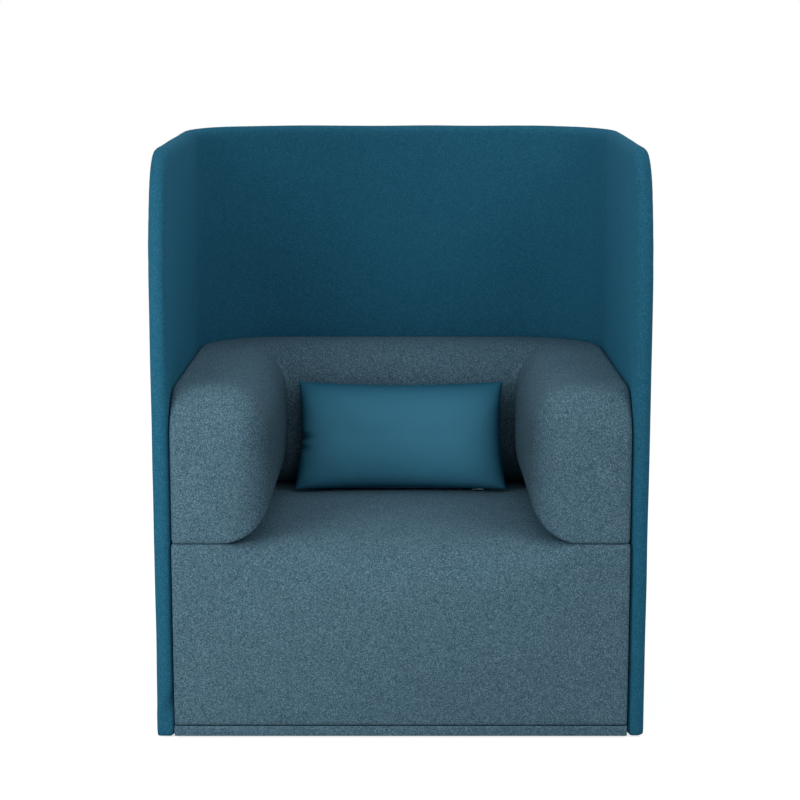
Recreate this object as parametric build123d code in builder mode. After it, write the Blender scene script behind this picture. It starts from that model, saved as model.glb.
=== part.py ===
"""High back lounge chair: an upholstered armchair inside a padded wrap-around screen.

Millimetres. X runs across the chair, the front faces -Y, +Z is up.
The origin lies on the floor under the middle of the chair.
"""

import os
from math import cos, radians, sin, sqrt, tan

from build123d import *

os.makedirs("parts", exist_ok=True)

# Overall sizes of the screen, which wraps the whole chair
overall_width = 900.0
overall_depth = 800.0
overall_height = 1078.0

# Screen panel: bent plywood with foam and fabric on both faces
screen_thickness = 32.0
screen_ply = 12.0
screen_corner_radius = 200.0
screen_lean_radius = 600.0
screen_lean_angle = 21.0
screen_top_radius = 112.0
screen_edge_radius = 14.0

# Fabric, the air left between neighbouring pieces, and how far a cut runs past a face
cover_thickness = 2.0
fit_gap = 0.3
cut_past = 1.0

# Base under the upholstery
glide_height = 4.0
glide_diameter = 32.0
plinth_height = 19.0
plinth_rail_width = 60.0
panel_thickness = 18.0
panel_end_gap = 2.0
deck_thickness = 15.0
front_pad_thickness = 12.0
corner_block_leg = 50.0
corner_block_height = 120.0
bottom_cloth_thickness = 1.0

# Seat
seat_height = 368.0
seat_rake = 3.0
seat_roll_radius = 70.0
seat_edge_radius = 4.0
seat_crown = 12.0
seat_crown_front_margin = 25.0
seat_crown_back_margin = 12.0
seat_side_overlap = 6.0
seat_rail_gap = 3.0
seat_foam_thickness = 110.0
topper_thickness = 32.0

# Webbing under the seat foam
strap_width = 60.0
strap_thickness = 2.0
straps_lengthwise = 5
straps_crosswise = 4
strap_side_gap = 10.0
batten_size = 20.0

# Arms and back: one bolster section carried round three sides of the seat
arm_width = 180.0
arm_height = 652.0
arm_fall = 1.6
arm_front_radius = 95.0
arm_top_radius = 88.0
arm_cove_radius = 90.0
arm_edge_radius = 8.0
back_thickness = 180.0
board_thickness = 15.0
board_side_gap = 2.0
board_end_gap = 5.0
upright_drop = 70.0

# Fasteners
bolt_diameter = 8.0
bolt_clearance = 0.5
bolt_head_diameter = 16.0
bolt_head_height = 5.0
washer_diameter = 22.0
washer_thickness = 1.6
tee_nut_barrel = 11.0
tee_nut_flange = 22.0
tee_nut_flange_thickness = 1.5
tee_nut_short = 1.0
glide_screw_diameter = 4.0
glide_screw_head = 8.0
glide_screw_length = 18.0
glide_screw_recess = 0.8
glide_screw_head_height = 2.0
screen_bolt_front = 150.0
screen_bolt_rear = 130.0
screen_bolt_low = 85.0
screen_bolt_spacing = 155.0
arm_bolt_front = 90.0
arm_bolt_rear = 70.0

# Lumbar pillow, which fits between the arms
pillow_side_room = 20.2
pillow_height = 222.0
pillow_thickness = 112.0
pillow_edge = 10.0
pillow_seam_step = 1.0
pillow_fullness = 0.8
pillow_flat_share = 0.3
pillow_pull_in = 10.0
pillow_lean = 12.0
pillow_back_gap = 2.0
pillow_cover_thickness = 1.5
pillow_seam_allowance = 9.0
zip_end_margin = 47.5
zip_width = 4.4
zip_chain_height = 2.2
zip_slider_stop = 1.0
zip_slider_length = 11.0
zip_slider_height = 3.4
zip_pull_length = 17.6
zip_pull_width = 3.0
zip_pull_height = 1.1

# Heights and planes that follow from the sizes above
half_width = overall_width / 2
front = -overall_depth / 2
back = overall_depth / 2
plinth_top = glide_height + plinth_height
lining = cover_thickness + fit_gap
bay_half = half_width - screen_thickness - fit_gap
bay_back = back - screen_thickness - fit_gap
bay_corner = screen_corner_radius - screen_thickness - fit_gap
rake_slope = tan(radians(seat_rake))
fall_slope = tan(radians(arm_fall))
rake_cos = cos(radians(seat_rake))
mitre_past = 0.3
rake_way = (0, cos(radians(seat_rake)), -sin(radians(seat_rake)))
rake_normal = (0, sin(radians(seat_rake)), cos(radians(seat_rake)))

arm_inner = bay_half - arm_width
back_inner = bay_back - back_thickness
seat_zone = arm_inner + arm_cove_radius - seat_side_overlap
rail_inner = seat_zone + seat_rail_gap
crown_start = front + seat_roll_radius + seat_crown_front_margin
crown_end = back_inner + arm_cove_radius - seat_crown_back_margin
board_inner = arm_inner + arm_cove_radius + board_side_gap
board_front = front + arm_front_radius
board_back = back_inner - board_end_gap
back_board_front = back_inner + arm_cove_radius + board_side_gap
back_board_half = arm_inner - board_end_gap
board_low = fit_gap + lining
board_high = board_low + board_thickness
pillow_width = 2 * (arm_inner - pillow_side_room)
zip_length = pillow_width - 2 * zip_end_margin


def shoulder(y):
    """Height of the flat seat block top, on which the arms and the back stand."""
    return seat_height - rake_slope * (y - front)


def arm_top(y):
    """Height of the arm and back tops before their edges are rounded."""
    return arm_height - fall_slope * (y - front)


def bay_outline(inset):
    """Plan outline of the upholstered insert, with rounded rear corners."""
    width = 2 * (bay_half - inset)
    depth = bay_back - front - 2 * inset
    with Locations((0, (bay_back + front) / 2)):
        Rectangle(width, depth)
    fillet(vertices().group_by(Axis.Y)[-1], bay_corner - inset)


def screen_form(inset):
    """The U-shaped screen wall, taken in by the inset on every face but the floor one."""
    outer = half_width - inset
    inner = half_width - screen_thickness + inset
    rear_outer = back - inset
    rear_inner = back - screen_thickness + inset
    top = overall_height - inset
    lean = screen_lean_radius - inset
    round_top = screen_top_radius - inset
    turn = sin(radians(screen_lean_angle))
    lean_start = top - lean * turn - round_top * (1 - turn)
    rim = min(screen_edge_radius, screen_thickness / 2 - 1) - inset
    with BuildPart() as form:
        with BuildSketch(Plane.XY.offset(glide_height)):
            with BuildLine():
                FilletPolyline(
                    (-outer, front),
                    (-outer, rear_outer),
                    (outer, rear_outer),
                    (outer, front),
                    radius=screen_corner_radius - inset,
                )
                Line((outer, front), (inner, front))
                FilletPolyline(
                    (inner, front),
                    (inner, rear_inner),
                    (-inner, rear_inner),
                    (-inner, front),
                    radius=screen_corner_radius - screen_thickness + inset,
                )
                Line((-inner, front), (-outer, front))
            make_face()
        extrude(amount=top - glide_height)
        with BuildSketch(Plane.YZ):
            with BuildLine():
                edge = Line((front + inset, glide_height), (front + inset, lean_start))
                sweep_back = JernArc(edge @ 1, (0, 1), lean, -screen_lean_angle)
                round_over = JernArc(sweep_back @ 1, sweep_back % 1, round_top, screen_lean_angle - 90)
                Line(round_over @ 1, (back + cut_past, top))
                Line((back + cut_past, top), (back + cut_past, glide_height))
                Line((back + cut_past, glide_height), edge @ 0)
            make_face()
        extrude(amount=half_width + cut_past, both=True, mode=Mode.INTERSECT)
        rims = edges().filter_by(lambda e: e.center().Z > glide_height + cut_past)
        rims = rims.filter_by(lambda e: e.length > screen_thickness - 2 * inset + cut_past)
        corner_seams = rims.filter_by(Axis.Z).filter_by(lambda e: e.center().Y > 0)
        fillet(rims - corner_seams, rim)
    return form.part


def seat_section(x, inset, roll, crown):
    """Side outline of the seat block: rolled front edge, crowned top, raked to the rear."""
    near = front + inset
    far = bay_back - inset
    start = (crown_start, shoulder(crown_start) - inset)
    end = (crown_end, shoulder(crown_end) - inset)
    middle = ((crown_start + crown_end) / 2, (start[1] + end[1]) / 2 + crown)
    with BuildSketch(Plane.YZ.offset(x)) as section:
        with BuildLine():
            Polyline(
                end,
                (far, shoulder(far) - inset),
                (far, plinth_top),
                (near, plinth_top),
                (near, shoulder(near) - inset),
                start,
            )
            ThreePointArc(start, middle, end)
        make_face()
        corner = vertices().group_by(Axis.X)[0].sort_by(Axis.Y)[-1]
        fillet(corner, roll)
    return section.sketch


def seat_form(inset):
    """The full-width seat block, soft between the arms and crisp below them."""
    flat = 0.1
    edge = max(seat_edge_radius - inset, 1)
    sections = []
    for share in (-1, -0.9, -0.7, -0.35, 0, 0.35, 0.7, 0.9, 1):
        roll = edge + (seat_roll_radius - inset - edge) * (1 - share**4)
        crown = flat + (seat_crown - flat) * (1 - share**2)
        sections.append(seat_section(share * seat_zone, inset, roll, crown))
    with BuildPart() as form:
        loft(sections=[section.face() for section in sections])
        extrude(sections[-1], amount=bay_half - seat_zone)
        extrude(sections[0], amount=seat_zone - bay_half)
        with BuildSketch(Plane.XY):
            bay_outline(inset)
        extrude(amount=overall_height, mode=Mode.INTERSECT)
    return form.part


def mitre_point(share):
    """A point on the plan line where arm and back meet, from the inner to the outer corner."""
    return (arm_inner + share * arm_width, back_inner + share * back_thickness)


def arm_form(inset):
    """The right arm: rounded front and inner edges, coved under the inner side."""
    inner = arm_inner + inset
    outer = bay_half - inset
    near = front + inset
    low = fit_gap + inset
    with BuildPart() as form:
        with BuildSketch(Plane.XY):
            with Locations(((inner + outer) / 2, (near + bay_back) / 2)):
                Rectangle(outer - inner, bay_back - near)
            fillet(vertices().group_by(Axis.X)[0].sort_by(Axis.Y)[0], arm_front_radius - inset)
        extrude(amount=overall_height)
        with BuildSketch(Plane.YZ):
            Polygon(
                (near - cut_past, shoulder(near - cut_past) + low),
                (back, shoulder(back) + low),
                (back, arm_top(back) - inset),
                (near - cut_past, arm_top(near - cut_past) - inset),
                align=None,
            )
        extrude(amount=half_width, mode=Mode.INTERSECT)
        top = faces().sort_by(Axis.Z)[-1]
        soft = top.edges().sort_by(Axis.X)[:-1]
        soft = soft.sort_by(Axis.Y)[:-1]
        fillet(soft, arm_top_radius - inset)
        beside_wing = edges().filter_by(lambda e: e.bounding_box().min.X > outer - 0.01)
        beside_wing = beside_wing.sort_by(Axis.Z)[1:].sort_by(Axis.Y)[:-1]
        fillet(beside_wing, arm_edge_radius - inset)
        start = front - cut_past
        floor = shoulder(start) + fit_gap
        cut_side = arm_cove_radius + cut_past
        with BuildSketch(Plane.XZ.offset(-start)):
            with Locations((arm_inner - cut_past, floor - cut_past)):
                Rectangle(cut_side, cut_side, align=(Align.MIN, Align.MIN))
            with Locations((arm_inner + arm_cove_radius, floor + arm_cove_radius)):
                Circle(arm_cove_radius - inset, mode=Mode.SUBTRACT)
        extrude(amount=overall_depth / rake_cos, dir=rake_way, mode=Mode.SUBTRACT)
        with BuildSketch(Plane.XY):
            Polygon(
                mitre_point(-mitre_past),
                mitre_point(1 + mitre_past),
                (mitre_point(1 + mitre_past)[0], front - cut_past),
                (mitre_point(-mitre_past)[0], front - cut_past),
                align=None,
            )
        extrude(amount=overall_height, mode=Mode.INTERSECT)
        with BuildSketch(Plane.XY):
            bay_outline(inset)
        extrude(amount=overall_height, mode=Mode.INTERSECT)
    return form.part


def back_form(inset):
    """The back bolster between the two mitres, with the arms' own section."""
    near = back_inner + inset
    far = bay_back - inset
    low = fit_gap + inset
    with BuildPart() as form:
        with BuildSketch(Plane.YZ):
            Polygon(
                (near, shoulder(near) + low),
                (far, shoulder(far) + low),
                (far, arm_top(far) - inset),
                (near, arm_top(near) - inset),
                align=None,
            )
            inner_side = vertices().group_by(Axis.X)[0].sort_by(Axis.Y)
            fillet(inner_side[-1], arm_top_radius - inset)
            inner_side = vertices().group_by(Axis.X)[0].sort_by(Axis.Y)
            fillet(inner_side[0], arm_cove_radius - inset)
            beside_screen = vertices().group_by(Axis.X)[-1].sort_by(Axis.Y)[-1]
            fillet(beside_screen, arm_edge_radius - inset)
        extrude(amount=half_width, both=True)
        with BuildSketch(Plane.XY):
            Polygon(
                (-mitre_point(-mitre_past)[0], mitre_point(-mitre_past)[1]),
                (-mitre_point(1 + mitre_past)[0], mitre_point(1 + mitre_past)[1]),
                mitre_point(1 + mitre_past),
                mitre_point(-mitre_past),
                align=None,
            )
        extrude(amount=overall_height, mode=Mode.INTERSECT)
        with BuildSketch(Plane.XY):
            bay_outline(inset)
        extrude(amount=overall_height, mode=Mode.INTERSECT)
    return form.part


# Forms of the soft pieces: outside, inside of the fabric, and the stuffing within it
core_inset = (screen_thickness - screen_ply) / 2
screen_outside = screen_form(0)
screen_inside = screen_form(cover_thickness)
screen_stuffing = screen_form(lining)
screen_hollow = screen_form(core_inset - fit_gap)
screen_middle = screen_form(core_inset)
seat_outside = seat_form(0)
seat_inside = seat_form(cover_thickness)
seat_stuffing = seat_form(lining)
arm_outside = arm_form(0)
arm_inside = arm_form(cover_thickness)
arm_stuffing = arm_form(lining)
back_outside = back_form(0)
back_inside = back_form(cover_thickness)
back_stuffing = back_form(lining)

# Faces of the base panels
panel_side = bay_half - lining
panel_front = front + lining + front_pad_thickness
panel_front_back = panel_front + panel_thickness
rear_rail_front = back_inner + arm_cove_radius
rear_rail_back = rear_rail_front + panel_thickness
side_panel_end = bay_back - bay_corner
rear_panel_back = bay_back - lining
rear_panel_front = rear_panel_back - panel_thickness
rear_panel_half = bay_half - bay_corner - panel_end_gap
rear_rail_reach = sqrt((bay_corner - lining) ** 2 - max(rear_rail_back - side_panel_end, 0) ** 2)
rear_rail_half = min(panel_side - panel_thickness, rear_panel_half + rear_rail_reach)

# Glides stand under the middle of the plinth ring, clear of its rounded rear corners
glide_front = front + lining + plinth_rail_width / 2
glide_rear = bay_back - lining - plinth_rail_width / 2
glide_side = panel_side - plinth_rail_width / 2
glide_rear_side = bay_half - bay_corner
glide_places = [
    (glide_side, glide_front),
    (-glide_side, glide_front),
    (glide_rear_side, glide_rear),
    (-glide_rear_side, glide_rear),
]


def deck_top(y):
    """Upper face of the deck boards, just under the seat cover."""
    return shoulder(y) - lining


def deck_under(y):
    """Under face of the deck boards, where the panels end."""
    return deck_top(y) - deck_thickness


def foam_floor(y):
    """Under face of the seat foam, on the crosswise straps."""
    return deck_top(y) - seat_foam_thickness


def band(low, low_shift, high, high_shift, y_from, y_to):
    """Corner points of a raked board seen from the side, between two of the raked heights."""
    return (
        (y_from, low(y_from) + low_shift),
        (y_to, low(y_to) + low_shift),
        (y_to, high(y_to) + high_shift),
        (y_from, high(y_from) + high_shift),
    )


def floor_line(y):
    """Top of the plinth, on which the base stands."""
    return plinth_top


# Places of the bolts: along X through the side panels, and square to the deck boards
screen_bolt_rows = (plinth_top + screen_bolt_low, plinth_top + screen_bolt_low + screen_bolt_spacing)
screen_bolt_ends = (front + screen_bolt_front, side_panel_end - screen_bolt_rear)
screen_bolt_places = [(y, z) for y in screen_bolt_ends for z in screen_bolt_rows]
washer_face = panel_side - panel_thickness
core_outer = half_width - core_inset
core_inner = core_outer - screen_ply
screen_inner = half_width - screen_thickness
raked = Plane(origin=(0, front, seat_height), x_dir=(1, 0, 0), z_dir=rake_normal)
arm_bolt_line = (rail_inner + panel_side) / 2
arm_bolt_places = [
    (arm_bolt_line, (arm_front_radius + arm_bolt_front) / rake_cos),
    (arm_bolt_line, (back_inner - front - arm_bolt_rear) / rake_cos),
]
back_bolt_line = ((rear_rail_back + rear_panel_front) / 2 - front) / rake_cos
back_bolt_places = [(-arm_inner / 2, back_bolt_line), (arm_inner / 2, back_bolt_line)]
deck_bolt_places = arm_bolt_places + [(-x, y) for x, y in arm_bolt_places] + back_bolt_places
bolt_hole = bolt_diameter / 2 + bolt_clearance
barrel_hole = tee_nut_barrel / 2 + fit_gap
flange_pocket = tee_nut_flange / 2 + fit_gap
flange_pocket_depth = tee_nut_flange_thickness + fit_gap
deck_under_level = -(lining + deck_thickness) * rake_cos
board_level = board_low * rake_cos
board_top_level = board_high * rake_cos


def side_rods(radius, start, length):
    """Rods along X at the screen bolts, on both sides of the chair, to build or cut with."""
    with BuildPart() as rods:
        with BuildSketch(Plane.YZ.offset(start)):
            with Locations(*screen_bolt_places):
                Circle(radius)
        extrude(amount=length)
        mirror(about=Plane.YZ)
    return rods.part


def deck_rods(radius, level, length, places):
    """Rods square to the raked decks at the given bolts, to build or cut with."""
    with BuildPart() as rods:
        with BuildSketch(raked.offset(level)):
            with Locations(*places):
                Circle(radius)
        extrude(amount=length)
    return rods.part


# Screen: plywood bent to a U, bolted to the base sides
with BuildPart() as screen_core:
    add(screen_middle)
    add(side_rods(barrel_hole, core_inner - cut_past, screen_ply + 2 * cut_past), mode=Mode.SUBTRACT)
screen_core.part.label = "screen_core"
export_step(screen_core.part, "parts/screen_core.step")

# Screen: foam glued round the plywood, pocketed for the tee nuts
with BuildPart() as screen_pad:
    add(screen_stuffing)
    add(screen_hollow, mode=Mode.SUBTRACT)
    add(side_rods(bolt_hole, screen_inner - cut_past, screen_thickness / 2), mode=Mode.SUBTRACT)
    add(
        side_rods(flange_pocket, core_outer - cut_past, flange_pocket_depth + cut_past),
        mode=Mode.SUBTRACT,
    )
screen_pad.part.label = "screen_pad"
export_step(screen_pad.part, "parts/screen_pad.step")

# Screen: fabric sleeve pulled over the pad, open at the floor
with BuildPart() as screen_cover:
    add(screen_outside)
    add(screen_inside, mode=Mode.SUBTRACT)
    add(
        side_rods(bolt_hole, screen_inner - cut_past, cover_thickness + 2 * cut_past),
        mode=Mode.SUBTRACT,
    )
screen_cover.part.label = "screen_cover"
export_step(screen_cover.part, "parts/screen_cover.step")

# Tee nuts pressed into the screen's plywood from outside
with BuildPart() as screen_tee_nuts:
    add(side_rods(tee_nut_flange / 2, core_outer, tee_nut_flange_thickness))
    add(side_rods(tee_nut_barrel / 2, core_outer, tee_nut_short - screen_ply))
    add(side_rods(bolt_diameter / 2 + fit_gap, core_inner, 2 * screen_ply), mode=Mode.SUBTRACT)
screen_tee_nuts.part.label = "screen_tee_nuts"
export_step(screen_tee_nuts.part, "parts/screen_tee_nuts.step")

# Washers under the heads of the screen bolts
with BuildPart() as screen_washers:
    add(side_rods(washer_diameter / 2, washer_face, -washer_thickness))
    add(side_rods(bolt_hole, washer_face + cut_past, -washer_thickness - 2 * cut_past), mode=Mode.SUBTRACT)
screen_washers.part.label = "screen_washers"
export_step(screen_washers.part, "parts/screen_washers.step")

# Hexagon bolts from inside the base through its side panels into the screen
with BuildPart() as screen_bolts:
    with BuildSketch(Plane.YZ.offset(washer_face - washer_thickness)):
        with Locations(*screen_bolt_places):
            RegularPolygon(bolt_head_diameter / 2, 6)
    extrude(amount=-bolt_head_height)
    mirror(about=Plane.YZ)
    bolt_reach = core_outer - tee_nut_short - washer_face + washer_thickness
    add(side_rods(bolt_diameter / 2, washer_face - washer_thickness, bolt_reach))
screen_bolts.part.label = "screen_bolts"
export_step(screen_bolts.part, "parts/screen_bolts.step")

# Plinth: a timber ring with a fabric band round it
with BuildPart() as plinth_frame:
    with BuildSketch(Plane.XY.offset(glide_height)):
        bay_outline(lining)
    extrude(amount=plinth_height)
    with BuildSketch(Plane.XY.offset(glide_height)):
        bay_outline(lining + plinth_rail_width)
    extrude(amount=plinth_height, mode=Mode.SUBTRACT)
    with BuildSketch(Plane.XY.offset(glide_height)):
        with Locations(*glide_places):
            Circle(glide_screw_diameter / 2 + fit_gap / 3)
    extrude(amount=glide_screw_length, mode=Mode.SUBTRACT)
plinth_frame.part.label = "plinth_frame"
export_step(plinth_frame.part, "parts/plinth_frame.step")

with BuildPart() as plinth_band:
    with BuildSketch(Plane.XY.offset(glide_height)):
        bay_outline(0)
    extrude(amount=plinth_height)
    with BuildSketch(Plane.XY.offset(glide_height)):
        bay_outline(cover_thickness)
    extrude(amount=plinth_height, mode=Mode.SUBTRACT)
plinth_band.part.label = "plinth_band"
export_step(plinth_band.part, "parts/plinth_band.step")

# Dust cloth stapled under the base, inside the plinth ring
with BuildPart() as bottom_cloth:
    with BuildSketch(Plane.XY.offset(plinth_top)):
        bay_outline(lining + plinth_rail_width + fit_gap)
    extrude(amount=-bottom_cloth_thickness)
bottom_cloth.part.label = "bottom_cloth"
export_step(bottom_cloth.part, "parts/bottom_cloth.step")

# Nylon glides screwed under the plinth
with BuildPart() as glides:
    with BuildSketch(Plane.XY):
        with Locations(*glide_places):
            Circle(glide_diameter / 2)
    extrude(amount=glide_height)
    with BuildSketch(Plane.XY):
        with Locations(*glide_places):
            Circle(glide_screw_head / 2 + fit_gap)
    extrude(amount=glide_screw_recess + glide_screw_head_height, mode=Mode.SUBTRACT)
    with BuildSketch(Plane.XY):
        with Locations(*glide_places):
            Circle(glide_screw_diameter / 2 + fit_gap)
    extrude(amount=glide_height, mode=Mode.SUBTRACT)
glides.part.label = "glides"
export_step(glides.part, "parts/glides.step")

with BuildPart() as glide_screws:
    with BuildSketch(Plane.XY.offset(glide_screw_recess)):
        with Locations(*glide_places):
            Circle(glide_screw_head / 2)
    extrude(amount=glide_screw_head_height)
    with BuildSketch(Plane.XY.offset(glide_screw_recess)):
        with Locations(*glide_places):
            Circle(glide_screw_diameter / 2)
    extrude(amount=glide_screw_length)
glide_screws.part.label = "glide_screws"
export_step(glide_screws.part, "parts/glide_screws.step")

# Base box: the front panel is cut down between the arms to carry the straps
with BuildPart() as front_panel:
    with BuildSketch(Plane.YZ):
        Polygon(*band(floor_line, 0, deck_under, 0, panel_front, panel_front_back), align=None)
    extrude(amount=panel_side, both=True)
    with BuildSketch(Plane.YZ):
        Polygon(
            *band(
                foam_floor,
                -2 * strap_thickness,
                deck_top,
                0,
                panel_front - cut_past,
                panel_front_back + cut_past,
            ),
            align=None,
        )
    extrude(amount=rail_inner, both=True, mode=Mode.SUBTRACT)
front_panel.part.label = "front_panel"
export_step(front_panel.part, "parts/front_panel.step")

with BuildPart() as rear_rail:
    with BuildSketch(Plane.YZ):
        Polygon(*band(floor_line, 0, deck_under, 0, rear_rail_front, rear_rail_back), align=None)
    extrude(amount=rear_rail_half, both=True)
rear_rail.part.label = "rear_rail"
export_step(rear_rail.part, "parts/rear_rail.step")

with BuildPart() as rear_panel:
    with BuildSketch(Plane.YZ):
        Polygon(*band(floor_line, 0, deck_under, 0, rear_panel_front, rear_panel_back), align=None)
    extrude(amount=rear_panel_half, both=True)
rear_panel.part.label = "rear_panel"
export_step(rear_panel.part, "parts/rear_panel.step")

with BuildPart() as side_panel_right:
    with BuildSketch(Plane.YZ.offset(panel_side - panel_thickness)):
        Polygon(*band(floor_line, 0, deck_under, 0, panel_front_back, side_panel_end), align=None)
        with Locations(*screen_bolt_places):
            Circle(bolt_hole, mode=Mode.SUBTRACT)
    extrude(amount=panel_thickness)
side_panel_right.part.label = "side_panel_right"
export_step(side_panel_right.part, "parts/side_panel_right.step")

with BuildPart() as side_panel_left:
    mirror(side_panel_right.part, about=Plane.YZ)
side_panel_left.part.label = "side_panel_left"
export_step(side_panel_left.part, "parts/side_panel_left.step")

with BuildPart() as seat_rail_right:
    with BuildSketch(Plane.YZ.offset(rail_inner)):
        Polygon(*band(floor_line, 0, deck_under, 0, panel_front_back, rear_rail_front), align=None)
    extrude(amount=panel_thickness)
seat_rail_right.part.label = "seat_rail_right"
export_step(seat_rail_right.part, "parts/seat_rail_right.step")

with BuildPart() as seat_rail_left:
    mirror(seat_rail_right.part, about=Plane.YZ)
seat_rail_left.part.label = "seat_rail_left"
export_step(seat_rail_left.part, "parts/seat_rail_left.step")

# Triangular blocks glued into the corners of the seat well
with BuildPart() as corner_blocks:
    with BuildSketch(Plane.XY.offset(plinth_top)):
        Polygon(
            (rail_inner, panel_front_back),
            (rail_inner, panel_front_back + corner_block_leg),
            (rail_inner - corner_block_leg, panel_front_back),
            align=None,
        )
        Polygon(
            (rail_inner, rear_rail_front),
            (rail_inner - corner_block_leg, rear_rail_front),
            (rail_inner, rear_rail_front - corner_block_leg),
            align=None,
        )
    extrude(amount=corner_block_height)
    mirror(about=Plane.YZ)
corner_blocks.part.label = "corner_blocks"
export_step(corner_blocks.part, "parts/corner_blocks.step")

# Deck boards that close the base under the arms and the back
with BuildPart() as arm_deck_right:
    with BuildSketch(Plane.YZ.offset(rail_inner)):
        Polygon(*band(deck_under, 0, deck_top, 0, panel_front, rear_rail_front), align=None)
    extrude(amount=panel_side - rail_inner)
    with BuildSketch(Plane.XY):
        bay_outline(lining)
    extrude(amount=overall_height, mode=Mode.INTERSECT)
    add(
        deck_rods(bolt_hole, deck_under_level - cut_past, deck_thickness + 2 * cut_past, arm_bolt_places),
        mode=Mode.SUBTRACT,
    )
arm_deck_right.part.label = "arm_deck_right"
export_step(arm_deck_right.part, "parts/arm_deck_right.step")

with BuildPart() as arm_deck_left:
    mirror(arm_deck_right.part, about=Plane.YZ)
arm_deck_left.part.label = "arm_deck_left"
export_step(arm_deck_left.part, "parts/arm_deck_left.step")

with BuildPart() as rear_deck:
    with BuildSketch(Plane.YZ):
        Polygon(*band(deck_under, 0, deck_top, 0, rear_rail_front, rear_panel_back), align=None)
    extrude(amount=panel_side, both=True)
    with BuildSketch(Plane.XY):
        bay_outline(lining)
    extrude(amount=overall_height, mode=Mode.INTERSECT)
    add(
        deck_rods(bolt_hole, deck_under_level - cut_past, deck_thickness + 2 * cut_past, back_bolt_places),
        mode=Mode.SUBTRACT,
    )
rear_deck.part.label = "rear_deck"
export_step(rear_deck.part, "parts/rear_deck.step")

# Battens round the seat well, and elastic straps stretched over them
with BuildPart() as strap_battens:
    with BuildSketch(Plane.YZ.offset(rail_inner - batten_size)):
        Polygon(
            *band(
                foam_floor,
                -strap_thickness - batten_size,
                foam_floor,
                -strap_thickness,
                panel_front_back,
                rear_rail_front - batten_size - fit_gap,
            ),
            align=None,
        )
    extrude(amount=batten_size)
    mirror(about=Plane.YZ)
    with BuildSketch(Plane.YZ):
        Polygon(
            *band(
                foam_floor,
                -2 * strap_thickness - batten_size,
                foam_floor,
                -2 * strap_thickness,
                rear_rail_front - batten_size,
                rear_rail_front,
            ),
            align=None,
        )
    extrude(amount=rail_inner, both=True)
strap_battens.part.label = "strap_battens"
export_step(strap_battens.part, "parts/strap_battens.step")

lengthwise_reach = rail_inner - batten_size - strap_side_gap - strap_width / 2
lengthwise_step = 2 * lengthwise_reach / (straps_lengthwise - 1)
with BuildPart() as straps_long:
    for number in range(straps_lengthwise):
        side = number * lengthwise_step - lengthwise_reach - strap_width / 2
        with BuildSketch(Plane.YZ.offset(side)):
            Polygon(
                *band(
                    foam_floor,
                    -2 * strap_thickness,
                    foam_floor,
                    -strap_thickness,
                    panel_front,
                    rear_rail_front,
                ),
                align=None,
            )
        extrude(amount=strap_width)
straps_long.part.label = "straps_long"
export_step(straps_long.part, "parts/straps_long.step")

crosswise_room = rear_rail_front - batten_size - panel_front_back - strap_width
crosswise_step = crosswise_room / straps_crosswise
with BuildPart() as straps_cross:
    for number in range(straps_crosswise):
        place = panel_front_back + (number + 0.5) * crosswise_step
        with BuildSketch(Plane.YZ):
            Polygon(
                *band(foam_floor, -strap_thickness, foam_floor, 0, place, place + strap_width),
                align=None,
            )
        extrude(amount=rail_inner, both=True)
straps_cross.part.label = "straps_cross"
export_step(straps_cross.part, "parts/straps_cross.step")

# Seat: thin foam on the front panel, a foam block on the straps, a softer layer on top
with BuildPart() as front_pad:
    add(seat_stuffing)
    with BuildSketch(Plane.XY):
        with Locations((0, (front + panel_front) / 2)):
            Rectangle(2 * half_width, panel_front - front)
    extrude(amount=overall_height, mode=Mode.INTERSECT)
    with BuildSketch(Plane.YZ):
        Polygon(*band(foam_floor, 0, deck_top, seat_foam_thickness, front, panel_front), align=None)
    extrude(amount=rail_inner, both=True, mode=Mode.SUBTRACT)
front_pad.part.label = "front_pad"
export_step(front_pad.part, "parts/front_pad.step")

with BuildPart() as seat_foam:
    add(seat_stuffing)
    with BuildSketch(Plane.YZ):
        Polygon(
            *band(foam_floor, 0, deck_top, -topper_thickness, front, rear_rail_front - fit_gap),
            align=None,
        )
    extrude(amount=rail_inner - fit_gap, both=True, mode=Mode.INTERSECT)
seat_foam.part.label = "seat_foam"
export_step(seat_foam.part, "parts/seat_foam.step")

with BuildPart() as seat_topper:
    add(seat_stuffing)
    with BuildSketch(Plane.YZ):
        Polygon(
            *band(
                deck_top,
                -topper_thickness,
                deck_top,
                seat_foam_thickness,
                front,
                rear_rail_front - fit_gap,
            ),
            align=None,
        )
    extrude(amount=rail_inner - fit_gap, both=True, mode=Mode.INTERSECT)
seat_topper.part.label = "seat_topper"
export_step(seat_topper.part, "parts/seat_topper.step")

with BuildPart() as seat_cover:
    add(seat_outside)
    add(seat_inside, mode=Mode.SUBTRACT)
    cut_length = cover_thickness + 2 * cut_past
    add(side_rods(bolt_hole, bay_half + cut_past, -cut_length), mode=Mode.SUBTRACT)
    add(deck_rods(bolt_hole, cut_past, -cut_length, deck_bolt_places), mode=Mode.SUBTRACT)
seat_cover.part.label = "seat_cover"
export_step(seat_cover.part, "parts/seat_cover.step")

# Arms: a bottom board and an upright of plywood, foam round them, a sewn cover
with BuildPart() as arm_board_right:
    with BuildSketch(Plane.YZ.offset(board_inner)):
        Polygon(*band(shoulder, board_low, shoulder, board_high, board_front, board_back), align=None)
    extrude(amount=panel_side - board_inner)
    add(
        deck_rods(barrel_hole, board_level - cut_past, board_thickness + 2 * cut_past, arm_bolt_places),
        mode=Mode.SUBTRACT,
    )
arm_board_right.part.label = "arm_board_right"
export_step(arm_board_right.part, "parts/arm_board_right.step")

with BuildPart() as arm_board_left:
    mirror(arm_board_right.part, about=Plane.YZ)
arm_board_left.part.label = "arm_board_left"
export_step(arm_board_left.part, "parts/arm_board_left.step")

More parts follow.
